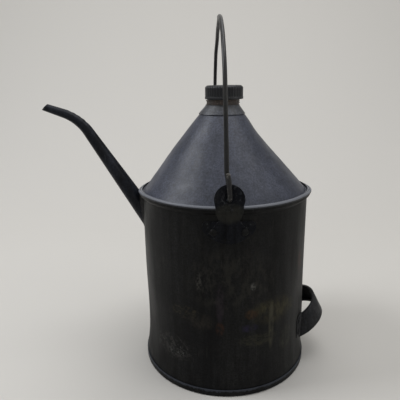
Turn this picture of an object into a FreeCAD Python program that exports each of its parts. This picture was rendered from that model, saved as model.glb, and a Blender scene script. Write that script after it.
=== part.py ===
import FreeCAD, Part
import math
import os

# Bail-handled sheet-steel oil filler can, in millimetres.
# The origin is the can's axis on the plane that its foot stands on, with +Z up.
# The spout points along -X, the strap handle along +X, and the ears face -Y and +Y.

V = FreeCAD.Vector
UP = V(0, 0, 1)
ORIGIN = V(0, 0, 0)

# sheet and joints between sheets
sheet = 0.7                  # tinplate of the shell
lap_gap = 0.15               # between two sheets that are folded or lapped together
bend = 0.6                   # middle radius of a tight fold in the shell's sheet

# body
body_radius = 79.0           # outside of the straight wall
can_height = 179.4           # foot plane to the top of the rim seam
foot_flare = 2.05            # how far the wall spreads towards the foot
flare_height = 25.0          # where that spread begins
flare_bend_low = 40.0
flare_bend_high = 120.0
foot_seam_height = 6.4
foot_recess = 4.0            # height of the bottom sheet's middle
lock_seam_width = 7.0
lock_seam_azimuth = 45.0
seam_stand = 0.7             # how far a lengthwise seam stands off its sheet
seam_margin = 2.8            # cone's foot to the end of its lengthwise seam

# rim seam between body and cone
rim_spread = 2.95            # how far the wall steps out to the rim
rim_seam_height = 2.8
rim_step_drop = 8.1          # rim top down to the start of that step
rim_step_bend = 1.5
valley_depth = 4.0           # rim top down to the gutter inside the seam

# cone, collar and neck
cone_start_radius = 77.5     # outside of the cone at the gutter
cone_angle = 51.3            # rise above the horizontal
cone_mouth_radius = 19.5
cone_seam_azimuth = 90.0
collar_radius = 21.4         # middle of the collar's lower edge
collar_rise = 7.3            # lower edge to the knee
collar_lip = 1.0
collar_bend = 1.2
neck_radius = 15.0           # outside of the neck below its thread
neck_wall = 1.0
neck_above_lip = 13.7
neck_tail = 6.0              # length of the neck below the collar's knee
thread_pitch = 4.2
thread_height = 0.9
thread_base = 1.5            # width of a thread where it stands on its tube
thread_crest = 0.7
thread_sink = 0.15            # how deep a thread's root lies in its tube
neck_thread_turns = 2.5

# cap and liner
cap_skirt_gap = 5.0          # collar lip to the cap's lower edge
cap_thread_gap = 0.4         # cap to the neck's thread, all round
cap_wall = 1.2
cap_rib = 0.5               # how deep the grip grooves are
cap_rib_count = 42
cap_bead = 0.2               # how far the lower band stands out
cap_bead_height = 1.8
cap_top = 1.8
cap_chamfer = 1.3
cap_thread_turns = 1.4
liner_thickness = 1.1
liner_gap = 0.3              # liner to the neck, to the cap's top and to its thread

# ears and their rivets
ear_sheet = 1.6
ear_rim_gap = 0.9            # rim seam to the ear's eye
eye_radius = 12.3
pivot_rise = 6.6             # rim top to the bail's axis
ear_neck_top = 10.5          # half width of the ear's neck at the eye
ear_neck_foot = 7.5          # half width where it leaves the plate
ear_plate_half_width = 22.0
ear_plate_drop = 13.4        # rim top to the plate's shoulders
ear_plate_height = 19.0
ear_plate_slope = 34.0       # degrees, of the plate's lower sides
ear_plate_round = 24.0       # radius of its lower edge
ear_side_round = 8.0         # where its sides turn in
ear_shoulder = 4.3
ear_step_drop = 15.5         # rim top to where the neck leaves the wall
ear_step_height = 10.5
ear_neck_flare = 2.5         # where the neck spreads into the plate
ear_step_bend = 3.0
ear_rib_foot = 2.4           # radius of the embossed rib at its lower end
ear_rib_top = 5.0            # and at the eye
ear_rib_start = 4.5          # plate's lower edge to the rib
ear_rib_stand = 1.7          # neck's middle to the rib's crest
ear_rivet_spread = 12.7
ear_rivet_drop = 22.4
rivet_radius = 1.6
rivet_head_radius = 3.1
rivet_head_height = 1.5
rivet_tail_radius = 2.4
rivet_tail_end = 1.9         # radius of the tail's inner end
rivet_tail_height = 1.0
rivet_gap = 0.1              # shank in its hole
rivet_seat = 0.1             # tail's rim to the wall, and head to the sheet under it

# bail
wire_radius = 2.0
eye_play = 0.3               # wire in its eye, all round
bend_inside = 0.8            # inside radius of the wire's hooks
hook_play = 0.1              # hook's bends to the ear's faces
hook_rise = 21.5
bail_leg = 62.9              # bail's axis to the start of the arch
bail_lean = 2.5              # degrees towards the spout, as it stands

# spout
spout_step_gap = 2.7         # top of the spout's root to the step under the rim
spout_angle = 57.9           # rise above the horizontal
spout_straight = 91.9
spout_bend_radius = 42.0
spout_bend_angle = 38.6
spout_nozzle = 20.5
spout_base_radius = 8.4      # at the wall
spout_tip_radius = 3.4
spout_sheet = 0.6
spout_inset = 2.0            # how far the tube reaches inside the wall
spout_gap = 0.1              # tube in the wall's hole
nozzle_bevel = 25.0          # degrees off a square cut
solder_fillet = 2.4
solder_film = 0.25          # between the solder and the pieces that it joins

# strap handle
strap_width = 21.2
strap_sheet = 1.1
strap_loop_radius = 32.5     # outside of the loop
strap_loop_inset = 11.6      # loop's centre inside the wall
strap_height = 43.7          # loop's middle at the wall
strap_tilt = 27.0            # the loop's outer end is tilted up
strap_hem = 3.4              # folded edge of the strap
strap_foot = 15.0
strap_foot_corner = 4.0
strap_rivet_spread = 6.5

overcut = 1.0                # how far cutting shapes reach past what they cut
drill_reach = 10.0           # how far the rivet holes' drills reach, each side of the wall

# what follows from them
seam_step = sheet + lap_gap
lip_radius = body_radius - sheet / 2 + rim_spread
rim_radius = lip_radius + seam_step + sheet / 2
foot_lip_radius = body_radius - sheet / 2 + foot_flare
valley_height = can_height - valley_depth
cone_slope = math.tan(math.radians(cone_angle))
cone_rise_to_collar = (cone_start_radius - collar_radius) * cone_slope
collar_height = valley_height - sheet / 2 + cone_rise_to_collar + seam_step
knee_height = collar_height + collar_rise
lip_top = knee_height + collar_lip
neck_top = lip_top + neck_above_lip
thread_start = lip_top + thread_base
crest_radius = neck_radius + thread_height
cap_bottom = lip_top + cap_skirt_gap
cap_bore = crest_radius + cap_thread_gap
cap_radius = cap_bore + cap_wall
cap_ceiling = neck_top + liner_thickness + 2 * liner_gap
cap_height = cap_ceiling - cap_bottom + cap_top
pivot_height = can_height + pivot_rise
ear_face = rim_radius + ear_rim_gap
ear_middle = ear_face + ear_sheet / 2
bend_radius = wire_radius + bend_inside
eye_span = ear_sheet + 2 * hook_play
leg_y = ear_middle - eye_span / 2 - bend_radius
hook_y = ear_middle + eye_span / 2 + bend_radius
eye_hole_radius = wire_radius + eye_play
spout_root_rise = spout_base_radius / math.cos(math.radians(spout_angle))
spout_height = can_height - rim_step_drop - spout_step_gap - spout_root_rise
strap_half_on_wall = strap_width / 2 / math.cos(math.radians(strap_tilt))


def save(shape, name):
    """Write one sub-part after checking it."""
    if not shape.isValid():
        raise ValueError(name + " is not a valid shape")
    shape.exportStep("parts/" + name + ".step")
    print(name, len(shape.Solids), "solid(s)", round(shape.Volume, 1), "mm3")


def side_outline(points, radii, offset):
    """Corners and rounding radii of a line that runs beside a bent middle line.

    A positive offset lies to the left of the direction of travel."""
    directions = []
    for start, end in zip(points, points[1:]):
        length = math.hypot(end[0] - start[0], end[1] - start[1])
        directions.append(((end[0] - start[0]) / length, (end[1] - start[1]) / length))
    corners = [(points[0][0] - directions[0][1] * offset, points[0][1] + directions[0][0] * offset)]
    rounds = [0.0]
    for index in range(1, len(points) - 1):
        before = directions[index - 1]
        after = directions[index]
        turn = math.atan2(before[0] * after[1] - before[1] * after[0],
                          before[0] * after[0] + before[1] * after[1])
        reach = offset * math.tan(turn / 2)
        corners.append((points[index][0] - before[1] * offset - before[0] * reach,
                        points[index][1] + before[0] * offset - before[1] * reach))
        rounds.append(radii[index - 1] - math.copysign(offset, turn * offset))
    last = directions[-1]
    corners.append((points[-1][0] - last[1] * offset, points[-1][1] + last[0] * offset))
    rounds.append(0.0)
    return corners, rounds


def rounded_edges(corners, rounds, place):
    """Lines and tangent arcs through the corners, from the first to the last."""
    edges = []
    here = corners[0]
    for index in range(1, len(corners) - 1):
        before = corners[index - 1]
        corner = corners[index]
        after = corners[index + 1]
        length_in = math.hypot(corner[0] - before[0], corner[1] - before[1])
        length_out = math.hypot(after[0] - corner[0], after[1] - corner[1])
        way_in = ((corner[0] - before[0]) / length_in, (corner[1] - before[1]) / length_in)
        way_out = ((after[0] - corner[0]) / length_out, (after[1] - corner[1]) / length_out)
        turn = math.atan2(way_in[0] * way_out[1] - way_in[1] * way_out[0],
                          way_in[0] * way_out[0] + way_in[1] * way_out[1])
        reach = rounds[index] * math.tan(abs(turn) / 2)
        if reach < 1e-6:
            edges.append(Part.makeLine(place(*here), place(*corner)))
            here = corner
            continue
        start = (corner[0] - way_in[0] * reach, corner[1] - way_in[1] * reach)
        end = (corner[0] + way_out[0] * reach, corner[1] + way_out[1] * reach)
        bow = (way_out[0] - way_in[0], way_out[1] - way_in[1])
        bow_length = math.hypot(*bow)
        depth = rounds[index] / math.cos(turn / 2) - rounds[index]
        middle = (corner[0] + bow[0] / bow_length * depth, corner[1] + bow[1] / bow_length * depth)
        edges.append(Part.makeLine(place(*here), place(*start)))
        edges.append(Part.Arc(place(*start), place(*middle), place(*end)).toShape())
        here = end
    edges.append(Part.makeLine(place(*here), place(*corners[-1])))
    return edges


def in_xz(x, z):
    return V(x, 0, z)


def in_yz(y, z):
    return V(0, y, z)


def bent_sheet(points, radii, thickness, place=in_xz):
    """Flat face of a sheet's section about its middle line, with rounded bends."""
    left = rounded_edges(*side_outline(points, radii, thickness / 2), place)
    right = rounded_edges(*side_outline(points, radii, -thickness / 2), place)
    start = Part.makeLine(left[0].firstVertex().Point, right[0].firstVertex().Point)
    end = Part.makeLine(left[-1].lastVertex().Point, right[-1].lastVertex().Point)
    wire = Part.Wire(Part.__sortEdges__(left + [end] + right + [start]))
    return Part.Face(wire)


def turned(face):
    """Solid of revolution about the can's axis."""
    return face.revolve(ORIGIN, UP, 360)


def tube(outer, inner, bottom, top):
    return Part.makeCylinder(outer, top - bottom, V(0, 0, bottom)).cut(
        Part.makeCylinder(inner, top - bottom, V(0, 0, bottom)))


def slab(corners, rounds, place, direction):
    """Prism of a closed outline with rounded corners."""
    start = ((corners[0][0] + corners[-1][0]) / 2, (corners[0][1] + corners[-1][1]) / 2)
    edges = rounded_edges([start] + corners + [start], [0.0] + rounds + [0.0], place)
    return Part.Face(Part.Wire(edges)).extrude(direction)


def spun(shape, azimuth):
    copy = shape.copy()
    copy.rotate(ORIGIN, UP, azimuth)
    return copy


def mirrored(shape):
    return shape.mirror(ORIGIN, V(0, 1, 0))


def thread(radius, height, bottom, turns):
    """Right-handed helical ridge. It stands outwards for a positive height."""
    sink = math.copysign(thread_sink, height)
    spine = Part.makeHelix(thread_pitch, thread_pitch * turns, radius)
    section = Part.makePolygon([
        V(radius - sink, 0, -thread_base / 2),
        V(radius + height, 0, -thread_crest / 2),
        V(radius + height, 0, thread_crest / 2),
        V(radius - sink, 0, thread_base / 2),
        V(radius - sink, 0, -thread_base / 2)])
    sweep = Part.BRepOffsetAPI.MakePipeShell(Part.Wire(spine))
    sweep.setFrenetMode(True)
    sweep.add(section)
    sweep.build()
    sweep.makeSolid()
    ridge = sweep.shape()
    ridge.translate(V(0, 0, bottom))
    return ridge


def wall_line():
    """Middle line of the body's wall, from the foot lip to the rim lip."""
    wall = body_radius - sheet / 2
    step_start = can_height - rim_step_drop
    points = [
        (foot_lip_radius, bend + sheet),
        (foot_lip_radius, foot_seam_height + sheet),
        (wall, flare_height),
        (wall, step_start),
        (lip_radius, step_start + rim_spread),
        (lip_radius, can_height - 2 * lap_gap - sheet)]
    return points, [flare_bend_low, flare_bend_high, rim_step_bend, rim_step_bend]


def lock_seam(inner, width, bottom, top, azimuth):
    """Folded lengthwise seam that stands proud of the wall."""
    ring = tube(inner + seam_stand, inner - sheet / 2, bottom, top)
    strip = Part.makeBox(2 * inner, width, top - bottom, V(0, -width / 2, bottom))
    return spun(ring.common(strip), azimuth)


def radial_rod(azimuth, height, radius, start, end):
    rod = Part.makeCylinder(radius, end - start, V(start, 0, height), V(1, 0, 0))
    return spun(rod, azimuth)


def rivet(azimuth, height, inside, outside):
    """Shank, domed head outside and flat set tail inside, through a stack of sheets."""
    dome_radius = (rivet_head_radius ** 2 + rivet_head_height ** 2) / (2 * rivet_head_height)
    head_seat = outside + rivet_seat
    dome = Part.makeSphere(dome_radius, V(head_seat + rivet_head_height - dome_radius, 0, height))
    keep = Part.makeCylinder(rivet_head_radius, rivet_head_height + overcut,
                             V(head_seat, 0, height), V(1, 0, 0))
    head = dome.common(keep)
    tail_seat = math.sqrt(inside ** 2 - rivet_tail_radius ** 2) - rivet_seat
    tail_end = tail_seat - rivet_tail_height
    shank = Part.makeCylinder(rivet_radius, head_seat - tail_end + overcut / 2,
                              V(tail_end, 0, height), V(1, 0, 0))
    tail = Part.makeCone(rivet_tail_end, rivet_tail_radius, rivet_tail_height,
                         V(tail_end, 0, height), V(1, 0, 0))
    return spun(head.fuse([shank, tail]).removeSplitter(), azimuth)


def rivet_holes(places):
    return [radial_rod(azimuth, height, rivet_radius + rivet_gap,
                       body_radius - drill_reach, body_radius + drill_reach)
            for azimuth, height in places]


def ear_rivet_places(side):
    turn = math.degrees(math.asin(ear_rivet_spread / body_radius))
    return [(side * 90 + way * turn, can_height - ear_rivet_drop) for way in (-1, 1)]


def strap_rivet_places():
    spread = strap_loop_radius + strap_foot / 2
    turn = math.degrees(math.asin(spread / body_radius))
    return [(side * turn, strap_height + way * strap_rivet_spread)
            for side in (-1, 1) for way in (-1, 1)]


def spout_solid(shrink):
    """Tapered, bent spout with every radius smaller by shrink, before any trimming."""
    rise = math.radians(spout_angle)
    lead = 2 * spout_base_radius
    spill = 2 * spout_tip_radius
    along = (-math.cos(rise), math.sin(rise))
    flat = rise - math.radians(spout_bend_angle)
    beyond = (-math.cos(flat), math.sin(flat))
    root = (-body_radius - lead * along[0], spout_height - lead * along[1])
    corner_reach = spout_bend_radius * math.tan(math.radians(spout_bend_angle) / 2)
    corner_at = spout_straight + corner_reach
    corner = (-body_radius + corner_at * along[0], spout_height + corner_at * along[1])
    tip_at = corner_reach + spout_nozzle + spill
    tip = (corner[0] + tip_at * beyond[0], corner[1] + tip_at * beyond[1])
    path = Part.Wire(rounded_edges([root, corner, tip], [0.0, spout_bend_radius, 0.0], in_xz))
    length = spout_straight + spout_bend_radius * math.radians(spout_bend_angle) + spout_nozzle
    taper = (spout_base_radius - spout_tip_radius) / length
    first = Part.Circle(in_xz(*root), V(along[0], 0, along[1]),
                        spout_base_radius + taper * lead - shrink)
    last = Part.Circle(in_xz(*tip), V(beyond[0], 0, beyond[1]),
                       spout_tip_radius - taper * spill - shrink)
    sweep = Part.BRepOffsetAPI.MakePipeShell(path)
    sweep.setFrenetMode(True)
    sweep.add(Part.Wire(first.toShape()))
    sweep.add(Part.Wire(last.toShape()))
    sweep.build()
    sweep.makeSolid()
    return sweep.shape(), corner, corner_reach + spout_nozzle, beyond, flat


def trimmed_spout(shrink):
    """Spout cut to the wall's curve at its root and bevelled at its tip."""
    solid, corner, reach, beyond, flat = spout_solid(shrink)
    inside = Part.makeCylinder(body_radius - sheet - spout_inset, can_height)
    tip = V(corner[0] + beyond[0] * reach, 0, corner[1] + beyond[1] * reach)
    size = 12 * spout_tip_radius
    waste = Part.makeBox(size, size, size, V(-size, -size / 2, -size / 2))
    waste.rotate(ORIGIN, V(0, 1, 0), math.degrees(flat) - nozzle_bevel)
    waste.translate(tip)
    return solid.cut([inside, waste])


def make_body_wall():
    points, radii = wall_line()
    wall = turned(bent_sheet(points, radii, sheet))
    seam = lock_seam(body_radius, lock_seam_width, flare_height,
                     can_height - rim_step_drop - bend, lock_seam_azimuth)
    holes = rivet_holes(ear_rivet_places(-1) + ear_rivet_places(1) + strap_rivet_places())
    spout_hole = spout_solid(-spout_gap)[0]
    return wall.fuse(seam).cut(holes + [spout_hole])


def make_bottom_plate():
    inner = foot_lip_radius - seam_step
    outer = foot_lip_radius + seam_step
    points = [(0, foot_recess), (inner, foot_recess), (inner, sheet / 2),
              (outer, sheet / 2), (outer, foot_seam_height)]
    return turned(bent_sheet(points, [bend, bend / 2, bend / 2 + lap_gap], sheet))


def make_cone_top():
    inner = lip_radius - seam_step
    outer = lip_radius + seam_step
    crown = can_height - sheet / 2
    gutter = valley_height - sheet / 2
    cone_foot = cone_start_radius - sheet / 2 / math.sin(math.radians(cone_angle))
    mouth_height = gutter + (cone_foot - cone_mouth_radius) * cone_slope
    points = [(outer, can_height - rim_seam_height), (outer, crown), (inner, crown),
              (inner, gutter), (cone_foot, gutter), (cone_mouth_radius, mouth_height)]
    shell = turned(bent_sheet(points, [bend, bend, bend, bend + sheet], sheet))
    length = (cone_foot - cone_mouth_radius) / math.cos(math.radians(cone_angle))
    seam_length = length - 2 * seam_margin - (collar_radius - cone_mouth_radius) * 2
    strip = Part.makeBox(seam_length, lock_seam_width, sheet / 2 + seam_stand,
                         V(seam_margin, -lock_seam_width / 2, 0))
    strip.rotate(ORIGIN, V(0, 1, 0), -cone_angle)
    strip.rotate(ORIGIN, UP, 180)
    strip.translate(V(cone_foot, 0, gutter))
    return shell.fuse(spun(strip, cone_seam_azimuth))


def make_neck_collar():
    lip = neck_radius + lap_gap + sheet / 2
    points = [(collar_radius, collar_height), (lip, knee_height), (lip, lip_top)]
    return turned(bent_sheet(points, [collar_bend], sheet))


def make_filler_neck():
    bottom = knee_height - neck_tail
    core = tube(neck_radius, neck_radius - neck_wall, bottom, neck_top)
    ridge = thread(neck_radius, thread_height, thread_start, neck_thread_turns)
    return core.fuse(ridge)


def make_screw_cap():
    blank = Part.makeCylinder(cap_radius, cap_height, V(0, 0, cap_bottom))
    bead = Part.makeCylinder(cap_radius + cap_bead, cap_bead_height, V(0, 0, cap_bottom))
    groove_bottom = cap_bottom + cap_bead_height
    grooves = []
    for index in range(cap_rib_count):
        angle = 2 * math.pi * index / cap_rib_count
        center = V(cap_radius * math.cos(angle), cap_radius * math.sin(angle), groove_bottom)
        grooves.append(Part.makeCylinder(cap_rib, cap_height, center))
    gripped = blank.cut(grooves)
    crown_radius = cap_radius - cap_chamfer
    crown = Part.makeCone(crown_radius + cap_height, crown_radius, cap_height, V(0, 0, cap_bottom))
    bore = Part.makeCylinder(cap_bore, cap_ceiling - cap_bottom, V(0, 0, cap_bottom))
    shell = gripped.fuse(bead).common(crown).cut(bore)
    between = thread_start + thread_pitch / 2
    turns_up = math.ceil((cap_bottom + thread_base - between) / thread_pitch)
    ridge = thread(cap_bore, -thread_height, between + turns_up * thread_pitch, cap_thread_turns)
    return shell.fuse(ridge)


def make_cap_liner():
    radius = cap_bore - thread_height - liner_gap
    return Part.makeCylinder(radius, liner_thickness, V(0, 0, neck_top + liner_gap))


def make_front_ear():
    bottom = can_height - ear_plate_drop - ear_plate_height
    shoulders = can_height - ear_plate_drop
    half = ear_plate_half_width
    away = V(0, -2 * body_radius, 0)
    slope = math.radians(ear_plate_slope)
    apex = bottom - ear_plate_round * (1 / math.cos(slope) - 1)
    turn_in = apex + half * math.tan(slope)
    outline = [(-half, shoulders), (-half, turn_in), (0, apex), (half, turn_in), (half, shoulders)]
    rounds = [ear_shoulder, ear_side_round, ear_plate_round, ear_side_round, ear_shoulder]
    prism = slab(outline, rounds, in_xz, away)
    inner = body_radius + lap_gap
    plate = tube(inner + ear_sheet, inner, bottom - overcut, shoulders + overcut).common(prism)

    # the neck steps out from the wall and past the rim, up to the eye
    step_start = can_height - ear_step_drop
    step_end = step_start + ear_step_height
    wall_line = -(inner + ear_sheet / 2)
    neck_line = [(wall_line, bottom + ear_rib_start), (wall_line, step_start),
                 (-ear_middle, step_end), (-ear_middle, pivot_height + 2 * eye_radius)]
    bends = [ear_step_bend, ear_step_bend]
    section = bent_sheet(neck_line, bends, ear_sheet, in_yz)
    section.translate(V(-half, 0, 0))
    band = section.extrude(V(2 * half, 0, 0))
    neck_foot = shoulders - ear_shoulder
    waist = shoulders + ear_neck_flare
    neck_top_height = pivot_height - eye_radius / 2
    sides = [(ear_neck_foot + 2 * ear_neck_flare, neck_foot), (ear_neck_foot, waist),
             (ear_neck_top, neck_top_height), (-ear_neck_top, neck_top_height),
             (-ear_neck_foot, waist), (-ear_neck_foot - 2 * ear_neck_flare, neck_foot)]
    neck_prism = slab(sides, [0.0, ear_neck_flare, 0.0, 0.0, ear_neck_flare, 0.0], in_xz, away)
    eye = Part.makeCylinder(eye_radius, 2 * body_radius, V(0, 0, pivot_height), V(0, -1, 0))
    strip = band.common(neck_prism.fuse(eye))

    # a rib is embossed down the neck; it widens upwards and stands out of the outer face
    rib_end = pivot_height - eye_hole_radius - ear_rib_top - ear_sheet
    rib_line = [(neck_line[0][0], neck_line[0][1]), neck_line[1], neck_line[2], (-ear_middle, rib_end)]
    path = Part.Wire(rounded_edges(rib_line, [0.0] + bends + [0.0], in_yz))
    low_round = Part.Circle(in_yz(wall_line + ear_rib_foot - ear_rib_stand, rib_line[0][1]),
                            UP, ear_rib_foot)
    high_round = Part.Circle(in_yz(ear_rib_top - ear_rib_stand - ear_middle, rib_end),
                             UP, ear_rib_top)
    sweep = Part.BRepOffsetAPI.MakePipeShell(path)
    sweep.setFrenetMode(True)
    sweep.add(Part.Wire(low_round.toShape()))
    sweep.add(Part.Wire(high_round.toShape()))
    sweep.build()
    sweep.makeSolid()
    reach = 2 * ear_rib_stand
    cover_line, cover_bends = side_outline(rib_line, bends, reach / 2)
    cover = bent_sheet(cover_line, cover_bends[1:-1], reach, in_yz)
    cover.translate(V(-half, 0, 0))
    rib = sweep.shape().common(cover.extrude(V(2 * half, 0, 0)))

    hole = Part.makeCylinder(eye_hole_radius, 2 * body_radius, V(0, 0, pivot_height), V(0, -1, 0))
    return plate.fuse([strip, rib]).cut([hole] + rivet_holes(ear_rivet_places(-1)))


def make_ear_rivets(side):
    inside = body_radius - sheet
    outside = body_radius + lap_gap + ear_sheet
    return Part.makeCompound([rivet(azimuth, height, inside, outside)
                              for azimuth, height in ear_rivet_places(side)])


def make_bail_wire():
    arch_height = pivot_height + bail_leg
    half = [(-hook_y, pivot_height + hook_rise), (-hook_y, pivot_height),
            (-leg_y, pivot_height), (-leg_y, arch_height)]
    rounds = [0.0, bend_radius, bend_radius, 0.0]
    front = rounded_edges(half, rounds, in_yz)
    back_half = [(-y, z) for y, z in reversed(half)]
    back = rounded_edges(back_half, rounds, in_yz)
    arch = Part.Arc(in_yz(-leg_y, arch_height), in_yz(0, arch_height + leg_y),
                    in_yz(leg_y, arch_height)).toShape()
    path = Part.Wire(front + [arch] + back)
    section = Part.Wire(Part.Circle(in_yz(*half[0]), UP, wire_radius).toShape())
    wire = path.makePipeShell([section], True, True)
    wire.rotate(V(0, 0, pivot_height), V(0, 1, 0), -bail_lean)
    return wire


def make_spout_tube():
    return trimmed_spout(0).cut(spout_solid(spout_sheet)[0])


def make_spout_solder():
    """Fillet of solder around the spout's root, up to the step under the rim."""
    wall = Part.makeCylinder(body_radius + solder_film, can_height)
    spout = spout_solid(-solder_film)[0]
    union = wall.fuse(spout)
    joint = [edge for edge in union.Edges
             if edge.BoundBox.XMax < spout_base_radius - body_radius
             and edge.BoundBox.XMin > -body_radius - overcut
             and edge.BoundBox.YLength > spout_base_radius
             and edge.BoundBox.ZLength > spout_base_radius
             and edge.BoundBox.ZMax < can_height - rim_step_drop]
    rounded = union.makeFillet(solder_fillet, joint)
    rim_step = Part.makeCylinder(2 * body_radius, can_height,
                                 V(0, 0, can_height - rim_step_drop - rim_step_bend))
    return rounded.cut([union, rim_step])


def make_strap_handle():
    outer = strap_loop_radius
    half = strap_width / 2
    loop = tube(outer, outer - strap_sheet, -half, half)
    for bottom in (-half, half - strap_hem):
        loop = loop.fuse(tube(outer - strap_sheet / 2, outer - 2 * strap_sheet,
                              bottom, bottom + strap_hem))
    loop.translate(V(-strap_loop_inset, 0, 0))
    loop.rotate(ORIGIN, V(0, 1, 0), -strap_tilt)
    loop.translate(V(body_radius, 0, strap_height))
    inner = body_radius + lap_gap
    low = strap_height - strap_half_on_wall
    high = strap_height + strap_half_on_wall
    shell = tube(inner + strap_sheet, inner, low - overcut, high + overcut)
    near = outer - strap_sheet
    far = outer + strap_foot
    corner = strap_foot_corner
    foot = slab([(near, low), (far, low), (far, high), (near, high)],
                [0.0, corner, corner, 0.0], in_yz, V(2 * body_radius, 0, 0)).common(shell)
    loop = loop.cut(Part.makeCylinder(inner, can_height, V(0, 0, -can_height / 4)))
    handle = loop.fuse([foot, mirrored(foot)]).removeSplitter()
    return handle.cut(rivet_holes(strap_rivet_places()))


def make_strap_rivets():
    inside = body_radius - sheet
    outside = body_radius + lap_gap + strap_sheet
    return Part.makeCompound([rivet(azimuth, height, inside, outside)
                              for azimuth, height in strap_rivet_places()])


os.makedirs("parts", exist_ok=True)
front_ear = make_front_ear()
save(make_body_wall(), "body_wall")
save(make_bottom_plate(), "bottom_plate")
save(make_cone_top(), "cone_top")
save(make_neck_collar(), "neck_collar")
save(make_filler_neck(), "filler_neck")
save(make_screw_cap(), "screw_cap")
save(make_cap_liner(), "cap_liner")
save(front_ear, "front_ear")
save(mirrored(front_ear), "rear_ear")
save(make_ear_rivets(-1), "front_ear_rivets")
save(make_ear_rivets(1), "rear_ear_rivets")
save(make_bail_wire(), "bail_wire")
save(make_spout_tube(), "spout_tube")
save(make_spout_solder(), "spout_solder")
save(make_strap_handle(), "strap_handle")
save(make_strap_rivets(), "strap_rivets")
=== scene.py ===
import math
import bmesh
import bpy
from mathutils import Matrix, Vector, noise


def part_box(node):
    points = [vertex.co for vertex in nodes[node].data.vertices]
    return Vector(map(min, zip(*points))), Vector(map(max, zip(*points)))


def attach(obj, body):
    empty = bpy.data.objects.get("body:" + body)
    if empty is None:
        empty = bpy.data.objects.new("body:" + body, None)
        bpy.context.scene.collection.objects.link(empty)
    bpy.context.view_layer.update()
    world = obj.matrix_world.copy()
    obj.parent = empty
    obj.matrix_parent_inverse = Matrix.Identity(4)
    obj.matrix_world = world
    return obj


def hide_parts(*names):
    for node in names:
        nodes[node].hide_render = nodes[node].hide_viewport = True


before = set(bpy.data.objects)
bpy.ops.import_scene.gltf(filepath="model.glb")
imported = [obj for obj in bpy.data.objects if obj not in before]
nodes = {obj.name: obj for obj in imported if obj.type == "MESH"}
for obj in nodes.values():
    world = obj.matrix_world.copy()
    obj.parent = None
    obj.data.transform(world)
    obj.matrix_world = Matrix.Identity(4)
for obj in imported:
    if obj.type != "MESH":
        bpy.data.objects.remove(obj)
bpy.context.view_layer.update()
mm = 0.001  # metres; sizes below are in millimetres unless a note says otherwise
tiny = 1e-6  # a length or radius too small to matter
print("frame loaded with", len(nodes), "nodes")


# node helpers, used by the finishes and the sky

def put(tree, kind, inputs=None, **settings):
    made = tree.nodes.new("ShaderNode" + kind)
    for key, value in settings.items():
        setattr(made, key, value)
    for key, value in (inputs or {}).items():
        socket = made.inputs[key]
        if isinstance(value, bpy.types.NodeSocket):
            tree.links.new(value, socket)
        elif socket.type == "RGBA":
            socket.default_value = tuple(value) + (1.0,)
        else:
            socket.default_value = value
    return made


def newFinish(name):
    material = bpy.data.materials.new(name)
    material.use_nodes = True
    tree = material.node_tree
    return material, tree, tree.nodes["Principled BSDF"]


def stretched(tree, place, scale):
    return put(tree, "Mapping", {"Vector": place, "Scale": scale}).outputs["Vector"]


def cloud(tree, place, scale, detail=4.0, rough=0.55, twist=0.0):
    made = put(tree, "TexNoise", {"Vector": place, "Scale": scale, "Detail": detail,
                                  "Roughness": rough, "Distortion": twist})
    return made.outputs["Fac"]


def between(tree, value, low, high, floor=0.0, ceiling=1.0):
    made = put(tree, "MapRange", {"Value": value, "From Min": low, "From Max": high,
                                  "To Min": floor, "To Max": ceiling},
               interpolation_type="SMOOTHSTEP")
    return made.outputs["Result"]


def sums(tree, kind, first, second=0.0):
    return put(tree, "Math", {0: first, 1: second}, operation=kind).outputs["Value"]


def mixed(tree, amount, first, second):
    made = put(tree, "Mix", {0: amount, 6: first, 7: second}, data_type="RGBA")
    return made.outputs[2]


def finePlace(tree):
    return put(tree, "TexCoord").outputs["Object"]


def wearAndHighlightEdge(tree):
    return put(tree, "Attribute", attribute_name="rubbed").outputs["Fac"]


def roughen(tree, shader, height):
    # relief in millimetres
    bump = put(tree, "Bump", {"Strength": 1.0, "Distance": mm, "Height": height})
    tree.links.new(bump.outputs["Normal"], shader.inputs["Normal"])


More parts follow.
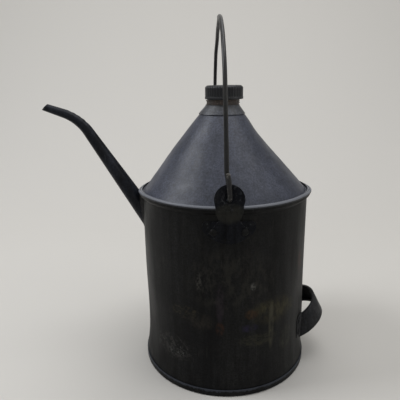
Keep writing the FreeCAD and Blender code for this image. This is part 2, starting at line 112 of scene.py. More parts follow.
def wornEnamel(name, look):
    # old brushed-on enamel over tinplate: cloudy tone, rubbed edges, chips, dust and a fine grain; on the
    # rim seam the bright edge colour is partly wear and partly a painted highlight
    material, tree, shader = newFinish(name)
    place = finePlace(tree)
    drawn = stretched(tree, place, (1.0, 1.0, look["drawn"]))
    tone = between(tree, cloud(tree, drawn, look["toneScale"], 6.0, 0.6), 0.32, 0.68)
    colour = mixed(tree, tone, look["dark"], look["light"])
    grainy = between(tree, cloud(tree, place, look["mottleScale"], 3.0, 0.65), 0.3, 0.7,
                     1.0 - look["mottle"], 1.0 + look["mottle"])
    runny = stretched(tree, place, look["streakStretch"])
    runs = between(tree, cloud(tree, runny, look["streakScale"], 3.0, 0.6), 0.3, 0.7,
                   1.0 - look["streak"], 1.0 + look["streak"])
    shades = put(tree, "HueSaturation", {"Color": colour, "Value": sums(tree, "MULTIPLY", grainy, runs)})
    colour = shades.outputs["Color"]
    film = between(tree, cloud(tree, place, look["dustScale"], 8.0, 0.7), 0.5, 0.78,
                   0.0, look["dustAmount"])
    colour = mixed(tree, film, colour, look["dust"])
    lines = stretched(tree, place, look["lineStretch"])
    scratch = between(tree, cloud(tree, lines, look["lineScale"], 2.0, 0.5),
                      0.68, 0.74, 0.0, look["lineAmount"])
    colour = mixed(tree, scratch, colour, look["metalAndHighlight"])
    # marked edges turn to the bright edge colour; on the rim seam that is partly rubbed wear and partly a
    # painted highlight
    wornAndLit = sums(tree, "MULTIPLY", wearAndHighlightEdge(tree), look["edgeWearAndHighlight"])
    broken = cloud(tree, place, look["chipScale"], 5.0, 0.65)
    rubbed = between(tree, sums(tree, "ADD", wornAndLit, broken), 0.95, 1.2)
    chips = between(tree, cloud(tree, place, look["chipScale"] * 0.7, 7.0, 0.7), look["chipStart"],
                    look["chipStart"] + 0.03)
    bareAndLit = sums(tree, "MAXIMUM", rubbed, chips)
    colour = mixed(tree, bareAndLit, colour, look["metalAndHighlight"])
    for patch in look.get("patches", []):
        colour = mixed(tree, patchAmount(tree, place, patch), colour, patch["colour"])
    tree.links.new(colour, shader.inputs["Base Color"])
    gloss = between(tree, cloud(tree, drawn, look["toneScale"] * 2.3, 5.0), 0.3, 0.7, *look["rough"])
    tree.links.new(gloss, shader.inputs["Roughness"])
    shader.inputs["Specular IOR Level"].default_value = look["shine"]
    grain = cloud(tree, place, look["grainScale"], 3.0, 0.6)
    waves = cloud(tree, drawn, look["toneScale"] * 1.5, 2.0)
    height = sums(tree, "ADD", sums(tree, "MULTIPLY", grain, look["grain"]),
                  sums(tree, "MULTIPLY", waves, look["waves"]))
    roughen(tree, shader, sums(tree, "SUBTRACT", height, sums(tree, "MULTIPLY", bareAndLit, look["paint"])))
    return material


def patchAmount(tree, place, patch):
    # a faded area on the round wall, about an azimuth in degrees and a height
    parts = put(tree, "SeparateXYZ", {"Vector": place})
    turn = sums(tree, "ARCTAN2", parts.outputs["Y"], parts.outputs["X"])
    across = sums(tree, "MULTIPLY", sums(tree, "SUBTRACT", turn, math.radians(patch["azimuth"])),
                  patch["wallRadius"] / patch["width"])
    up = sums(tree, "DIVIDE", sums(tree, "SUBTRACT", parts.outputs["Z"], patch["height"] * mm),
              patch["tall"] * mm)
    away = sums(tree, "ADD", sums(tree, "MULTIPLY", across, across), sums(tree, "MULTIPLY", up, up))
    inside = between(tree, away, 1.3, 0.25)
    torn = between(tree, cloud(tree, stretched(tree, place, patch["stretch"]), patch["scale"], 7.0, 0.7),
                   patch["start"], patch["start"] + patch["soft"])
    return sums(tree, "MULTIPLY", sums(tree, "MULTIPLY", inside, torn), patch["amount"])


# mesh helpers

def roundedLine(corners, rounds, steps=5):
    # points through the corners, with an arc of its own radius at each inner one
    line = [Vector(corners[0])]
    for index in range(1, len(corners) - 1):
        corner = Vector(corners[index])
        wayIn = (corner - Vector(corners[index - 1])).normalized()
        wayOut = (Vector(corners[index + 1]) - corner).normalized()
        turn = wayIn.angle_signed(wayOut) if len(corner) == 2 else wayIn.angle(wayOut)
        reach = rounds[index] * math.tan(abs(turn) / 2)
        start = corner - wayIn * reach
        end = corner + wayOut * reach
        if reach < tiny * mm:
            line.append(corner)
            continue
        inward = (wayOut - wayIn).normalized()
        middle = corner + inward * (rounds[index] / math.cos(turn / 2))
        first = start - middle
        last = end - middle
        for step in range(steps + 1):
            share = step / steps
            along = first.lerp(last, share)
            line.append(middle + along.normalized() * rounds[index])
    line.append(Vector(corners[-1]))
    return line


def besideLine(points, rounds, offset):
    # the same bent line, moved sideways, with its arcs kept round the same centres
    ways = [(Vector(b) - Vector(a)).normalized() for a, b in zip(points, points[1:])]
    corners = [Vector(points[0]) + Vector((-ways[0].y, ways[0].x)) * offset]
    radii = [0.0]
    for index in range(1, len(points) - 1):
        before, after = ways[index - 1], ways[index]
        turn = math.atan2(before.x * after.y - before.y * after.x, before.dot(after))
        corners.append(Vector(points[index]) + Vector((-before.y, before.x)) * offset
                       - before * offset * math.tan(turn / 2))
        radii.append(rounds[index - 1] - math.copysign(offset, turn * offset))
    corners.append(Vector(points[-1]) + Vector((-ways[-1].y, ways[-1].x)) * offset)
    return corners, radii + [0.0]


def splitLong(line, longest):
    result = [line[0]]
    for start, end in zip(line, line[1:]):
        count = max(1, math.ceil((end - start).length / longest))
        result += [start.lerp(end, (step + 1) / count) for step in range(count)]
    return result


def sheetLoop(points, rounds, thickness, longest, steps=5):
    left = splitLong(roundedLine(*besideLine(points, rounds, thickness / 2), steps), longest)
    right = splitLong(roundedLine(*besideLine(points, rounds, -thickness / 2), steps), longest)
    return left + right[::-1]


def newObject(name, data):
    made = bpy.data.objects.new(name, data)
    bpy.context.scene.collection.objects.link(made)
    return made


def meshPiece(name, build, sharp=38.0, merge=1e-7):
    # build(shape) fills the mesh; sharp is in degrees and merge in metres
    mesh = bpy.data.meshes.new(name)
    shape = bmesh.new()
    build(shape)
    bmesh.ops.remove_doubles(shape, verts=shape.verts, dist=merge)
    bmesh.ops.recalc_face_normals(shape, faces=shape.faces)
    shape.to_mesh(mesh)
    shape.free()
    smoothShade(mesh, sharp)
    return newObject(name, mesh)


def smoothShade(mesh, sharp=38.0):
    mesh.polygons.foreach_set("use_smooth", [True] * len(mesh.polygons))
    mesh.set_sharp_from_angle(angle=math.radians(sharp))


def spin(shape, loop, segments):
    rings = []
    for index in range(segments):
        turn = 2 * math.pi * index / segments
        rings.append([shape.verts.new(onCircle(p.x, turn, p.y)) for p in loop])
    for index, ring in enumerate(rings):
        after = rings[(index + 1) % segments]
        for place in range(len(loop)):
            following = (place + 1) % len(loop)
            corners = [ring[place], after[place], after[following], ring[following]]
            if loop[place].x < tiny and loop[following].x < tiny:
                continue
            shape.faces.new(corners)


def onCircle(radius, turn, height):
    return radius * mm * math.cos(turn), radius * mm * math.sin(turn), height * mm


def tubeAlong(shape, line, radii, sides, squeeze=None):
    # an open tube skin along a line; squeeze(index, turn, radius) may change its radius
    rings = []
    side = Vector((0, 1, 0)) if abs(line[1].y - line[0].y) < tiny else Vector((1, 0, 0))
    for index, point in enumerate(line):
        ahead = line[min(index + 1, len(line) - 1)] - line[max(index - 1, 0)]
        ahead.normalize()
        side = (side - ahead * side.dot(ahead)).normalized()
        other = ahead.cross(side)
        ring = []
        for step in range(sides):
            turn = 2 * math.pi * step / sides
            radius = radii[index] if squeeze is None else squeeze(index, turn, radii[index])
            away = side * math.cos(turn) + other * math.sin(turn)
            ring.append(shape.verts.new((point + away * radius) * mm))
        rings.append(ring)
    for ring, after in zip(rings, rings[1:]):
        for step in range(sides):
            following = (step + 1) % sides
            shape.faces.new([ring[step], ring[following], after[following], after[step]])
    return rings


def dress(piece, material, body, slot, *replaced):
    piece.data.materials.clear()
    piece.data.materials.append(material)
    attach(piece, body)
    if replaced:
        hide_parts(*replaced)
    return piece


def markWearAndHighlight(piece, sharpest=50.0, least=12.0):
    # where the mesh folds outwards, from least to sharpest in degrees, the finish paints it bright; on the
    # rim seam that brightness is partly rubbed wear and partly a painted highlight
    shape = bmesh.new()
    shape.from_mesh(piece.data)
    shape.verts.ensure_lookup_table()
    values = [0.0] * len(shape.verts)
    for edge in shape.edges:
        if len(edge.link_faces) != 2 or not edge.is_convex:
            continue
        bend = math.degrees(edge.calc_face_angle(0.0))
        if bend < least:
            continue
        strength = min(1.0, (bend - least) / (sharpest - least))
        for corner in edge.verts:
            values[corner.index] = max(values[corner.index], strength)
    shape.free()
    attribute = piece.data.attributes.new("rubbed", "FLOAT", "POINT")
    attribute.data.foreach_set("value", values)


def evaluated(piece):
    # the mesh that the piece's modifiers leave
    bpy.context.view_layer.update()
    return bpy.data.meshes.new_from_object(piece.evaluated_get(bpy.context.evaluated_depsgraph_get()))


def softCopy(node, name, width, segments=2, angle=32.0, merge=2e-6, flat=0.6, sharp=40.0):
    # a copy of a CAD piece with its edges rolled over, as bent and stamped metal has them
    mesh = nodes[node].data.copy()
    mesh.name = name
    shape = bmesh.new()
    shape.from_mesh(mesh)
    bmesh.ops.remove_doubles(shape, verts=shape.verts, dist=merge)
    bmesh.ops.dissolve_limit(shape, angle_limit=math.radians(flat), verts=shape.verts, edges=shape.edges)
    shape.to_mesh(mesh)
    shape.free()
    piece = newObject(name, mesh)
    bevel = piece.modifiers.new("edges", "BEVEL")
    bevel.width = width * mm
    bevel.segments = segments
    bevel.limit_method = "ANGLE"
    bevel.angle_limit = math.radians(angle)
    bevel.use_clamp_overlap = True
    finished = evaluated(piece)
    piece.modifiers.clear()
    piece.data = finished
    piece.data.name = name
    smoothShade(piece.data, sharp)
    return piece


# finishes

enamel = {"dark": (0.0033, 0.0034, 0.0038), "light": (0.0085, 0.0086, 0.0085),
          "drawn": 0.3, "toneScale": 22.0,
          "dust": (0.034, 0.032, 0.027), "dustScale": 75.0, "dustAmount": 0.22,
          "metalAndHighlight": (0.085, 0.082, 0.074), "chipScale": 420.0, "chipStart": 0.74, "edgeWearAndHighlight": 0.5,
          "lineStretch": (1.0, 1.0, 0.05), "lineScale": 900.0, "lineAmount": 0.12,
          "mottleScale": 620.0, "mottle": 0.42,
          "streakStretch": (1.0, 1.0, 0.07), "streakScale": 170.0, "streak": 0.42,
          "rough": (0.38, 0.55), "shine": 0.1,
          "grainScale": 1500.0, "grain": 0.02, "waves": 0.25, "paint": 0.05}

# stains and what is left of an old label; each azimuth is in degrees, 0 at the handle and -90 at the
# front ear
wallPatch = {"wallRadius": 79.0, "stretch": (1.0, 1.0, 0.5), "scale": 210.0, "start": 0.36,
             "soft": 0.3, "amount": 0.85}


def patchAt(azimuth, height, width, tall, colour, **changes):
    spot = {"azimuth": azimuth, "height": height, "width": width, "tall": tall, "colour": colour}
    return wallPatch | spot | changes


fadedPatches = [
    patchAt(-58, 79, 26, 13, (0.031, 0.027, 0.014)),
    patchAt(-66, 84, 14, 6, (0.05, 0.045, 0.022), soft=0.42, scale=340.0),
    patchAt(-49, 78, 15, 7, (0.046, 0.042, 0.022), soft=0.42, scale=340.0),
    patchAt(-75, 80, 7, 5, (0.05, 0.026, 0.011), scale=330.0),
    patchAt(-77, 67, 9, 4, (0.017, 0.014, 0.033)),
    patchAt(-61, 66, 3, 25, (0.046, 0.043, 0.03), start=0.3),
    patchAt(-70, 54, 19, 7, (0.028, 0.027, 0.017), stretch=(1.0, 1.0, 2.4)),
    patchAt(-47, 47, 9, 14, (0.027, 0.027, 0.02)),
    patchAt(-119, 79, 15, 7, (0.046, 0.04, 0.022), start=0.44, scale=320.0, stretch=(1.0, 1.0, 1.6)),
    patchAt(-108, 73, 13, 9, (0.022, 0.019, 0.015)),
    patchAt(-95.5, 67, 4, 7, (0.036, 0.016, 0.0085), start=0.33),
    patchAt(-95.5, 92, 4, 19, (0.022, 0.016, 0.022), start=0.3),
    patchAt(-109, 111, 3, 9, (0.05, 0.048, 0.042), scale=420.0, start=0.47, soft=0.08),
    patchAt(-74, 106, 3.5, 4, (0.09, 0.088, 0.08), scale=480.0, start=0.45, soft=0.08),
    patchAt(-31, 114, 5, 13, (0.04, 0.022, 0.017), start=0.34),
    patchAt(-130, 39, 25, 13, (0.04, 0.039, 0.036), scale=260.0, start=0.46, soft=0.2,
            stretch=(1.0, 1.0, 1.0)),
    patchAt(-127, 36, 12, 7, (0.07, 0.07, 0.066), scale=430.0, start=0.52, soft=0.12,
            stretch=(1.0, 1.0, 1.0)),
    patchAt(-88, 112, 42, 32, (0.02, 0.019, 0.016), start=0.42, soft=0.2)]
# a paler patch on the front ear's neck
paleEarNeckPatch = patchAt(-90, 174, 13, 9, (0.0225, 0.022, 0.0185), start=0.2)

bodyFinish = wornEnamel("bodyEnamel", enamel | {"patches": fadedPatches})
bottomFinish = wornEnamel("bottomEnamel", enamel | {
    "edgeWearAndHighlight": 0.8, "drawn": 1.0, "metalAndHighlight": (0.042, 0.046, 0.056), "toneScale": 50.0})
coneFinish = wornEnamel("coneEnamel", enamel | {
    "dark": (0.0275, 0.0313, 0.0455), "light": (0.0448, 0.0493, 0.069), "drawn": 0.8, "toneScale": 26.0,
    "dust": (0.085, 0.09, 0.105), "dustScale": 160.0, "dustAmount": 0.4, "metalAndHighlight": (0.19, 0.195, 0.2),
    "lineStretch": (1.0, 1.0, 0.3), "rough": (0.36, 0.48), "shine": 0.28, "mottle": 0.4, "streak": 0.16,
    "chipScale": 700.0, "grain": 0.035, "grainScale": 1100.0})
# the rim seam is dark enamel whose bluish bright crown line is partly rubbed wear and partly a painted
# highlight of the light on the rolled bead
rimFinishWithHighlight = wornEnamel("rimEnamelWithHighlight", enamel | {
    "dark": (0.0062, 0.007, 0.0095), "light": (0.012, 0.0135, 0.0175), "metalAndHighlight": (0.135, 0.142, 0.162),
    "edgeWearAndHighlight": 0.82, "drawn": 1.0, "toneScale": 60.0, "shine": 0.3, "chipStart": 0.8})
collarFinish = wornEnamel("collarEnamel", enamel | {
    "dark": (0.034, 0.037, 0.046), "light": (0.055, 0.058, 0.068), "metalAndHighlight": (0.15, 0.14, 0.12),
    "edgeWearAndHighlight": 0.55, "dust": (0.06, 0.055, 0.05), "shine": 0.4})
earFinish = wornEnamel("earEnamel", enamel | {
    "dark": (0.0028, 0.0033, 0.0055), "light": (0.0075, 0.008, 0.0098), "metalAndHighlight": (0.06, 0.062, 0.066),
    "edgeWearAndHighlight": 1.5, "drawn": 1.0, "toneScale": 60.0, "dustAmount": 0.3, "shine": 0.06,
    "patches": [paleEarNeckPatch]})
rivetFinish = wornEnamel("rivetEnamel", enamel | {
    "edgeWearAndHighlight": 0.85, "chipStart": 0.66, "toneScale": 90.0, "drawn": 1.0})
spoutFinish = wornEnamel("spoutEnamel", enamel | {
    "dark": (0.005, 0.0058, 0.0086), "light": (0.0115, 0.013, 0.0178), "drawn": 1.0, "toneScale": 40.0,
    "dust": (0.04, 0.042, 0.05), "metalAndHighlight": (0.13, 0.13, 0.13), "edgeWearAndHighlight": 0.6, "rough": (0.3, 0.44),
    "shine": 0.12})
strapFinish = wornEnamel("strapEnamel", enamel | {
    "dark": (0.009, 0.0095, 0.0115), "light": (0.017, 0.0175, 0.0195), "drawn": 1.0, "toneScale": 55.0,
    "metalAndHighlight": (0.12, 0.12, 0.12), "edgeWearAndHighlight": 0.55})
wireFinish = wornEnamel("bailSteel", enamel | {
    "dark": (0.0042, 0.0043, 0.005), "light": (0.0105, 0.0108, 0.012), "drawn": 0.2, "toneScale": 70.0,
    "dust": (0.03, 0.024, 0.018), "dustScale": 140.0, "dustAmount": 0.3, "metalAndHighlight": (0.16, 0.15, 0.135),
    "rough": (0.3, 0.5), "shine": 0.3, "chipStart": 0.8, "edgeWearAndHighlight": 0.62})


def rustyTinplate(look):
    material, tree, shader = newFinish("neckRust")
    place = finePlace(tree)
    spread = between(tree, cloud(tree, place, look["scale"], 8.0, 0.7, 0.4), 0.3, 0.7)
    colour = mixed(tree, spread, look["dark"], look["rust"])
    bloom = between(tree, cloud(tree, place, look["scale"] * 3, 6.0, 0.7), 0.52, 0.7)
    colour = mixed(tree, bloom, colour, look["bloom"])
    colour = mixed(tree, sums(tree, "MULTIPLY", wearAndHighlightEdge(tree), look["edge"]), colour, look["metalAndHighlight"])
    tree.links.new(colour, shader.inputs["Base Color"])
    tree.links.new(between(tree, spread, 0.0, 1.0, *look["rough"]), shader.inputs["Roughness"])
    shader.inputs["Metallic"].default_value = look["metallic"]
    roughen(tree, shader, sums(tree, "MULTIPLY", bloom, look["relief"]))
    return material


neckRust = {"scale": 260.0, "dark": (0.016, 0.0145, 0.0145), "rust": (0.052, 0.036, 0.03),
            "bloom": (0.11, 0.084, 0.07), "metalAndHighlight": (0.24, 0.2, 0.17), "edge": 0.45,
            "rough": (0.45, 0.8), "metallic": 0.2, "relief": 0.08}
neckFinish = rustyTinplate(neckRust)


def capPlastic(look):
    material, tree, shader = newFinish("capPlastic")
    place = finePlace(tree)
    dust = between(tree, cloud(tree, place, look["dustScale"], 8.0, 0.75), 0.45, 0.75,
                   0.0, look["dustAmount"])
    pale = sums(tree, "MAXIMUM", dust, sums(tree, "MULTIPLY", wearAndHighlightEdge(tree), look["edge"]))
    tree.links.new(mixed(tree, pale, look["black"], look["dust"]), shader.inputs["Base Color"])
    tree.links.new(between(tree, dust, 0.0, look["dustAmount"], *look["rough"]), shader.inputs["Roughness"])
    shader.inputs["Specular IOR Level"].default_value = look["shine"]
    grain = cloud(tree, place, look["grainScale"], 2.0)
    roughen(tree, shader, sums(tree, "MULTIPLY", grain, look["grain"]))
    return material


capLook = {"black": (0.0052, 0.0058, 0.008), "dust": (0.05, 0.053, 0.062), "dustScale": 300.0,
           "dustAmount": 0.3, "edge": 0.28, "rough": (0.38, 0.6), "shine": 0.28,
           "grainScale": 1800.0, "grain": 0.02}
capFinish = capPlastic(capLook)


def pulpBoard(look):
    material, tree, shader = newFinish("linerBoard")
    fibres = cloud(tree, stretched(tree, finePlace(tree), look["stretch"]), look["scale"], 6.0, 0.7)
    tree.links.new(mixed(tree, fibres, look["dark"], look["light"]), shader.inputs["Base Color"])
    shader.inputs["Roughness"].default_value = look["rough"]
    return material


linerLook = {"dark": (0.3, 0.24, 0.16), "light": (0.5, 0.43, 0.32), "stretch": (1.0, 3.0, 1.0),
             "scale": 900.0, "rough": 0.9}
linerFinish = pulpBoard(linerLook)
solderFinish = wornEnamel("solderBead", enamel | {
    "dark": (0.012, 0.012, 0.013), "light": (0.03, 0.029, 0.028), "metalAndHighlight": (0.16, 0.155, 0.15),
    "chipStart": 0.62, "toneScale": 120.0, "drawn": 1.0, "edgeWearAndHighlight": 0.3, "waves": 0.35})
print("finishes made")


# body wall: one rolled sheet, a little dented, spread at the foot and stepped out to the rim

bodyShell = {"wallRadius": 79.0, "sheet": 0.7, "footLip": 80.7, "lipBottom": 1.3, "flareStart": 7.1,
             "flareEnd": 25.0, "step": 171.3, "rimLip": 81.6, "lipTop": 178.4, "segments": 256,
             "spacing": 6.0, "footRound": 40.0, "wallRound": 120.0, "stepRound": 1.5, "ripple": 0.12,
             "dents": [(-68, 118, 26, 0.5), (-118, 60, 30, 0.45), (-40, 50, 20, 0.4), (-100, 128, 18, 0.3),
                       (120, 90, 34, 0.8), (60, 120, 26, 0.6), (-160, 70, 24, 0.6), (30, 110, 30, 0.7)]}


def dentWall(piece, look, low, high, fade=12.0, around=2.2, upward=0.022):
    # each dent is an azimuth in degrees, a height, a size and a depth; nothing dents near low and high
    for corner in piece.data.vertices:
        x, y, z = (value / mm for value in corner.co)
        radius = math.hypot(x, y)
        turn = math.atan2(y, x)
        keep = max(0.0, min(1.0, (z - low) / fade)) * max(0.0, min(1.0, (high - z) / fade))
        wander = noise.noise(Vector((around * math.cos(turn), around * math.sin(turn), z * upward)))
        inward = keep * look["ripple"] * (0.5 + 0.5 * wander)
        for azimuth, height, size, depth in look["dents"]:
            across = radius * math.remainder(turn - math.radians(azimuth), 2 * math.pi)
            inward += keep * depth * math.exp(-(across ** 2 + (z - height) ** 2) / size ** 2)
        share = (radius - inward) / radius
        corner.co.x *= share
        corner.co.y *= share


def easeIn(value, start, end):
    share = max(0.0, min(1.0, (value - start) / (end - start)))
    return share * share * (3 - 2 * share)


# the cone has been pushed over towards the spout, by a distance at each height; the rim is beaten down
# all along the back, and the foot end of the wall bellies towards the handle
knocked = {"lean": [(180, 0.0), (190, 0.7), (200, 1.4), (208, 2.1), (216, 2.6), (232, 2.5),
                    (246, 2.0), (254, 1.4), (263, 0.0)],
           "sag": 4.4, "sagStart": -52.0, "sagEnd": 20.0, "seamInside": 78.6, "seamOutside": 79.9,
           "sagBottom": 170.0, "sagTop": 179.4, "belly": 0.9, "bellyHeight": 48.0, "bellySpread": 26.0,
           "bellyInside": 83.5, "bellyOutside": 96.0}


def stepped(z, steps):
    # eases from each height's value to the next height's value
    for (low, first), (high, last) in zip(steps, steps[1:]):
        if low <= z <= high:
            return first + (last - first) * easeIn(z, low, high)
    return 0.0


def knockAbout(piece, look):
    for corner in piece.data.vertices:
        x, y, z = (value / mm for value in corner.co)
        radius = math.hypot(x, y)
        belly = look["belly"] * math.exp(-((z - look["bellyHeight"]) / look["bellySpread"]) ** 2)
        belly *= 1 - easeIn(radius, look["bellyInside"], look["bellyOutside"])
        corner.co.x += (belly - stepped(z, look["lean"])) * mm
        down = (easeIn(y, look["sagStart"], look["sagEnd"])
                * easeIn(radius, look["seamInside"], look["seamOutside"])
                * max(0.0, (z - look["sagBottom"]) / (look["sagTop"] - look["sagBottom"])))
        corner.co.z -= look["sag"] * mm * down


def makeBody(look):
    wall = look["wallRadius"] - look["sheet"] / 2
    points = [(look["footLip"], look["lipBottom"]), (look["footLip"], look["flareStart"]),
              (wall, look["flareEnd"]), (wall, look["step"]),
              (look["rimLip"], look["step"] + look["rimLip"] - wall), (look["rimLip"], look["lipTop"])]
    rounds = [look["footRound"], look["wallRound"], look["stepRound"], look["stepRound"]]
    loop = sheetLoop(points, rounds, look["sheet"], look["spacing"], 4)
    piece = meshPiece("bodySkin", lambda shape: spin(shape, loop, look["segments"]))
    dentWall(piece, look, look["flareEnd"], look["step"])
    knockAbout(piece, knocked)
    markWearAndHighlight(piece)
    return piece


dress(makeBody(bodyShell), bodyFinish, "can", "body_paint", "body_wall")


def raisedStrip(name, place, stand, rowCount, steps=8, sunk=0.3, steep=2.6):
    # a folded seam with round shoulders; place(share, along, stand) gives radius, azimuth and height
    def build(shape):
        rows = []
        for index in range(rowCount + 1):
            along = index / rowCount
            fade = 0.0 if index in (0, rowCount) else 1.0
            row = []
            for step in range(steps + 1):
                share = 2 * step / steps - 1
                shoulder = min(1.0, steep * math.sqrt(max(0.0, 1 - abs(share))))
                radius, turn, height = place(share, along, (stand + sunk) * shoulder * fade - sunk)
                row.append(shape.verts.new(onCircle(radius, turn, height)))
            rows.append(row)
        for row, after in zip(rows, rows[1:]):
            for spot in range(steps):
                shape.faces.new([row[spot], row[spot + 1], after[spot + 1], after[spot]])
            shape.faces.new([row[0], after[0], after[-1], row[-1]])

    return meshPiece(name, build)


lockSeam = {"azimuth": 45.0, "width": 7.0, "stand": 0.7, "bottom": 26.0, "top": 170.0, "rows": 30}


def makeLockSeam(look):
    wall = bodyShell["wallRadius"]

    def place(share, along, stand):
        turn = math.radians(look["azimuth"]) + share * look["width"] / 2 / wall
        return wall + stand, turn, look["bottom"] + along * (look["top"] - look["bottom"])

    piece = raisedStrip("bodyLockSeam", place, look["stand"], look["rows"])
    dentWall(piece, bodyShell, bodyShell["flareEnd"], bodyShell["step"])
    knockAbout(piece, knocked)
    markWearAndHighlight(piece)
    return piece


dress(makeLockSeam(lockSeam), bodyFinish, "can", "body_paint")
print("body made")

bottomSheet = {"inner": 79.85, "outer": 81.55, "sheet": 0.7, "recess": 4.0, "seamTop": 6.4,
               "ringRadius": 52.0, "ringWidth": 5.0, "ringDepth": 0.8, "rise": 0.4,
               "rounds": [2.0, 2.0, 0.6, 0.45, 0.75], "segments": 200, "spacing": 9.0}


def makeBottom(look):
    # recessed bottom with a stamped ring, and its seam rolled round the wall's lip
    ring = look["ringRadius"]
    low = look["recess"] - look["ringDepth"]
    points = [(0, look["recess"]), (ring, look["recess"]), (ring + look["ringWidth"], low),
              (look["inner"], low + look["rise"]), (look["inner"], look["sheet"] / 2),
              (look["outer"], look["sheet"] / 2), (look["outer"], look["seamTop"])]
    loop = sheetLoop(points, look["rounds"], look["sheet"], look["spacing"])
    piece = meshPiece("bottomSheet", lambda shape: spin(shape, loop, look["segments"]))
    markWearAndHighlight(piece)
    return piece


dress(makeBottom(bottomSheet), bottomFinish, "can", "bottom_paint", "bottom_plate")

# the rim's bend angles and its depth below the crown say where the crown is painted bright, partly as
# rubbed wear and partly as a painted highlight
coneTop = {"crown": 179.4, "inner": 80.75, "outer": 82.45, "sheet": 0.7, "seamHeight": 2.8, "gutter": 4.0,
           "start": 77.5, "angle": 51.3, "mouth": 19.5, "footRound": 1.3, "segments": 240, "spacing": 5.0,
           "rollInside": 79.5, "fold": 1.45, "wearAndHighlightDepth": 1.7,
           "seamAzimuth": 90.0, "seamWidth": 7.0, "seamStand": 0.7, "seamFrom": 73.0, "seamTo": 24.0,
           "seamRows": 18, "ripple": 0.15, "dentLow": 4.0, "dentHigh": 62.0,
           "rubbed": (16.0, 5.0), "rimWearAndHighlight": (10.0, 3.0),
           "dents": [(-8, 231, 16, 1.3), (-55, 214, 20, 0.35), (-120, 205, 24, 0.35), (150, 215, 22, 0.6),
                     (80, 222, 18, 0.5), (30, 200, 26, 0.7)]}


def makeCone(look):
    gutter = look["crown"] - look["gutter"] - look["sheet"] / 2
    slope = math.tan(math.radians(look["angle"]))
    foot = look["start"] - look["sheet"] / 2 / math.sin(math.radians(look["angle"]))
    points = [(look["inner"] + look["sheet"] / 2, gutter), (foot, gutter),
              (look["mouth"], gutter + (foot - look["mouth"]) * slope)]
    loop = sheetLoop(points, [look["footRound"]], look["sheet"], look["spacing"])
    piece = meshPiece("coneSkin", lambda shape: spin(shape, loop, look["segments"]))
    dentWall(piece, look, look["crown"] + look["dentLow"], look["crown"] + look["dentHigh"])
    knockAbout(piece, knocked)
    markWearAndHighlight(piece, *look["rubbed"])
    return piece


def makeRimSeam(look):
    # the cone's edge is rolled over the wall's lip, and its round crown is painted bright, partly as rubbed
    # wear and partly as a painted highlight
    top = look["crown"] - look["sheet"] / 2
    points = [(look["outer"], look["crown"] - look["seamHeight"]), (look["outer"], top),
              (look["rollInside"], top),
              (look["rollInside"], look["crown"] - look["gutter"] - look["sheet"])]
    loop = sheetLoop(points, [look["fold"], look["fold"]], look["sheet"], look["spacing"], 8)
    piece = meshPiece("rimSeam", lambda shape: spin(shape, loop, look["segments"]))
    markWearAndHighlight(piece, *look["rimWearAndHighlight"])
    # only the top of the crown keeps the rubbed wear and painted highlight
    for corner, value in zip(piece.data.vertices, piece.data.attributes["rubbed"].data):
        if corner.co.z < (look["crown"] - look["wearAndHighlightDepth"]) * mm:
            value.value = 0.0
    knockAbout(piece, knocked)
    return piece


def makeConeSeam(look):
    # the cone's own folded seam runs up its back, square to the slope
    slope = math.radians(look["angle"])
    base = look["crown"] - look["gutter"]
    reach = look["seamFrom"] - look["seamTo"]

    def place(share, along, stand):
        radius = look["seamFrom"] - along * reach
        height = base + (look["start"] - radius) * math.tan(slope)
        turn = math.radians(look["seamAzimuth"]) + share * look["seamWidth"] / 2 / radius
        return radius + stand * math.sin(slope), turn, height + stand * math.cos(slope)

    piece = raisedStrip("coneSeam", place, look["seamStand"], look["seamRows"])
    dentWall(piece, look, look["crown"] + look["dentLow"], look["crown"] + look["dentHigh"])
    knockAbout(piece, knocked)
    markWearAndHighlight(piece)
    return piece


dress(makeCone(coneTop), coneFinish, "can", "cone_paint", "cone_top")
dress(makeConeSeam(coneTop), coneFinish, "can", "cone_paint")
dress(makeRimSeam(coneTop), rimFinishWithHighlight, "can", "cone_paint")
print("bottom and cone made")


# softened copies of the small stamped and machined pieces, each with its edges rolled over by so much

edges = {"neck": 0.13, "ear": 0.3, "rivet": 0.2, "strap": 0.3, "solder": 0.2, "liner": 0.15}


def softPiece(node, name, material, body, slot, width, rubbed=(45.0, 14.0)):
    piece = softCopy(node, name, width)
    markWearAndHighlight(piece, *rubbed)
    return dress(piece, material, body, slot, node)


for node, name, finish, slot in (("neck_collar", "neckCollar", collarFinish, "cone_paint"),
                                 ("filler_neck", "fillerNeck", neckFinish, "neck_tinplate")):
    knockAbout(softPiece(node, name, finish, "can", slot, edges["neck"]), knocked)

earShape = {"wallRadius": 79.1, "neckWiden": 0.2, "neckLow": 167.0, "neckHigh": 182.0, "neckIn": 3.0,
            "neckOut": 6.0, "shoulderLow": 160.5, "shoulderHigh": 166.0, "shoulderTop": 168.0,
            "shoulderStart": 8.5, "shoulderEnd": 11.0, "shoulderThin": 0.65}


def beatEar(piece, look):
    # each ear's neck is a little broader than drawn, and its shoulders are beaten thin on the wall
    for corner in piece.data.vertices:
        x, y, z = (value / mm for value in corner.co)
        radius = math.hypot(x, y)
        neck = (easeIn(z, look["neckLow"], look["neckLow"] + look["neckIn"])
                * (1 - easeIn(z, look["neckHigh"] - look["neckOut"], look["neckHigh"])))
        corner.co.x *= 1 + look["neckWiden"] * neck
        thin = (look["shoulderThin"] * easeIn(z, look["shoulderLow"], look["shoulderHigh"])
                * easeIn(abs(x), look["shoulderStart"], look["shoulderEnd"]))
        if z >= look["shoulderTop"]:
            thin = 0.0
        share = 1 - max(0.0, radius - look["wallRadius"]) * thin / radius
        corner.co.x *= share
        corner.co.y *= share


for side in ("front", "rear"):
    beatEar(softPiece(side + "_ear", side + "Ear", earFinish, "can", "ear_paint", edges["ear"]), earShape)
    softPiece(side + "_ear_rivets", side + "EarRivets", rivetFinish, "can", "rivet_steel", edges["rivet"])

